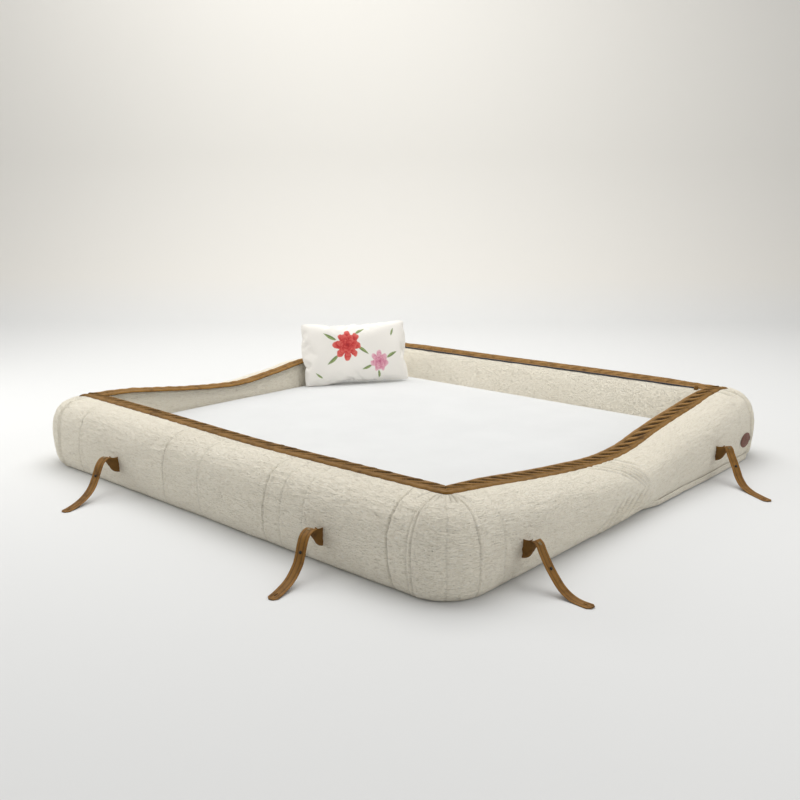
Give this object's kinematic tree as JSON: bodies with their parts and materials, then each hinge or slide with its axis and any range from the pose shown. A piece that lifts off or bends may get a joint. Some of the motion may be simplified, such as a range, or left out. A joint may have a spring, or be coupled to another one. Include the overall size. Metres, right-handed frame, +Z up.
{
  "type": "folding sofa-bed",
  "caption": "Low sofa-bed, open flat: a padded cloth border with a plaited leather edging round a mattress well, folding in the middle, with leather straps and a loose pillow.",
  "frame": {"origin": "on the floor, at the middle of the whole sofa-bed as it lies open, under the middle of the fold line", "axes": "+X to the right along the fold line, seen from the near long side; +Y from the near half to the far half; +Z up"},
  "size_m": [2.9277, 2.8587, 0.4779],
  "materials": {
    "cover_cloth": "crinkled cream cloth",
    "sheet_cloth": "smooth white sheet",
    "pillow_cloth": "white cotton with printed flowers",
    "dust_cloth": "thin black non-woven",
    "tan_leather": "waxed tan",
    "patch_leather": "reddish brown",
    "stud_metal": "antiqued",
    "frame_steel": "satin black",
    "hinge_steel": "zinc plated",
    "slat_wood": "bent beech",
    "plywood": "birch plywood",
    "holder_plastic": "black"
  },
  "bodies": {
    "far_half": {"far_back_rail": "frame_steel", "far_side_rails": "frame_steel", "far_fold_rail": "frame_steel", "far_slats": "slat_wood", "far_slat_holders": "holder_plastic", "far_base_cloth": "dust_cloth", "far_back_board": "plywood", "far_side_boards": "plywood", "far_board_bolts": "hinge_steel", "far_back_bolster": "cover_cloth", "far_left_bolster": "cover_cloth", "far_right_bolster": "cover_cloth", "far_mattress": "sheet_cloth", "far_back_braid": "tan_leather", "far_left_braid": "tan_leather", "far_right_braid": "tan_leather", "far_strap_roots": "tan_leather", "far_hem": "cover_cloth", "oval_patch": "patch_leather", "far_hinge_leaves": "hinge_steel", "hinge_pins": "hinge_steel"},
    "near_half": {"near_front_rail": "frame_steel", "near_side_rails": "frame_steel", "near_fold_rail": "frame_steel", "near_slats": "slat_wood", "near_slat_holders": "holder_plastic", "near_base_cloth": "dust_cloth", "near_front_board": "plywood", "near_side_boards": "plywood", "near_board_bolts": "hinge_steel", "near_front_bolster": "cover_cloth", "near_left_bolster": "cover_cloth", "near_right_bolster": "cover_cloth", "near_mattress": "sheet_cloth", "near_front_braid": "tan_leather", "near_left_braid": "tan_leather", "near_right_braid": "tan_leather", "near_strap_roots": "tan_leather", "near_hinge_leaves": "hinge_steel"},
    "tail_front_left": {"strap_front_left": "tan_leather", "studs_front_left": "stud_metal"},
    "tail_front_right": {"strap_front_right": "tan_leather", "studs_front_right": "stud_metal"},
    "tail_right_near": {"strap_right_near": "tan_leather", "studs_right_near": "stud_metal"},
    "tail_right_far": {"strap_right_far": "tan_leather", "studs_right_far": "stud_metal"},
    "tail_left_near": {"strap_left_near": "tan_leather", "studs_left_near": "stud_metal"},
    "tail_left_far": {"strap_left_far": "tan_leather", "studs_left_far": "stud_metal"},
    "tail_back_left": {"strap_back_left": "tan_leather", "studs_back_left": "stud_metal"},
    "tail_back_right": {"strap_back_right": "tan_leather", "studs_back_right": "stud_metal"},
    "pillow_body": {"pillow": "pillow_cloth"}
  },
  "joints": [
    {"name": "fold", "type": "hinge", "parent": "far_half", "child": "near_half", "pos_m": [0, 0, 0.005], "axis": [1, 0, 0], "range_deg": [0, 179.4]},
    {"name": "swing_front_left", "type": "hinge", "parent": "near_half", "child": "tail_front_left", "pos_m": [-0.54511, -1.212, 0.15], "axis": [-0.9455, -0.3256, 0], "range_deg": [-50, 95]},
    {"name": "swing_front_right", "type": "hinge", "parent": "near_half", "child": "tail_front_right", "pos_m": [0.66003, -1.212, 0.15], "axis": [-0.9703, -0.2419, 0], "range_deg": [-50, 95]},
    {"name": "swing_right_near", "type": "hinge", "parent": "near_half", "child": "tail_right_near", "pos_m": [1.245, -0.82459, 0.15], "axis": [-0.0872, -0.9962, 0], "range_deg": [-50, 95]},
    {"name": "swing_right_far", "type": "hinge", "parent": "far_half", "child": "tail_right_far", "pos_m": [1.245, 0.60614, 0.15], "axis": [-0.5299, -0.848, 0], "range_deg": [-50, 95]},
    {"name": "swing_left_near", "type": "hinge", "parent": "near_half", "child": "tail_left_near", "pos_m": [-1.245, -0.82459, 0.15], "axis": [-0.1736, 0.9848, 0], "range_deg": [-50, 95]},
    {"name": "swing_left_far", "type": "hinge", "parent": "far_half", "child": "tail_left_far", "pos_m": [-1.245, 0.60614, 0.15], "axis": [-0.342, 0.9397, 0], "range_deg": [-50, 95]},
    {"name": "swing_back_left", "type": "hinge", "parent": "far_half", "child": "tail_back_left", "pos_m": [-0.54511, 1.212, 0.15], "axis": [0.9781, 0.2079, 0], "range_deg": [-50, 95]},
    {"name": "swing_back_right", "type": "hinge", "parent": "far_half", "child": "tail_back_right", "pos_m": [0.66003, 1.212, 0.15], "axis": [0.9945, -0.1045, 0], "range_deg": [-50, 95]},
    {"name": "pillow_lift", "type": "slide", "parent": "far_half", "child": "pillow_body", "axis": [0, 0, 1], "range_m": [0, 0.4]}
  ]
}
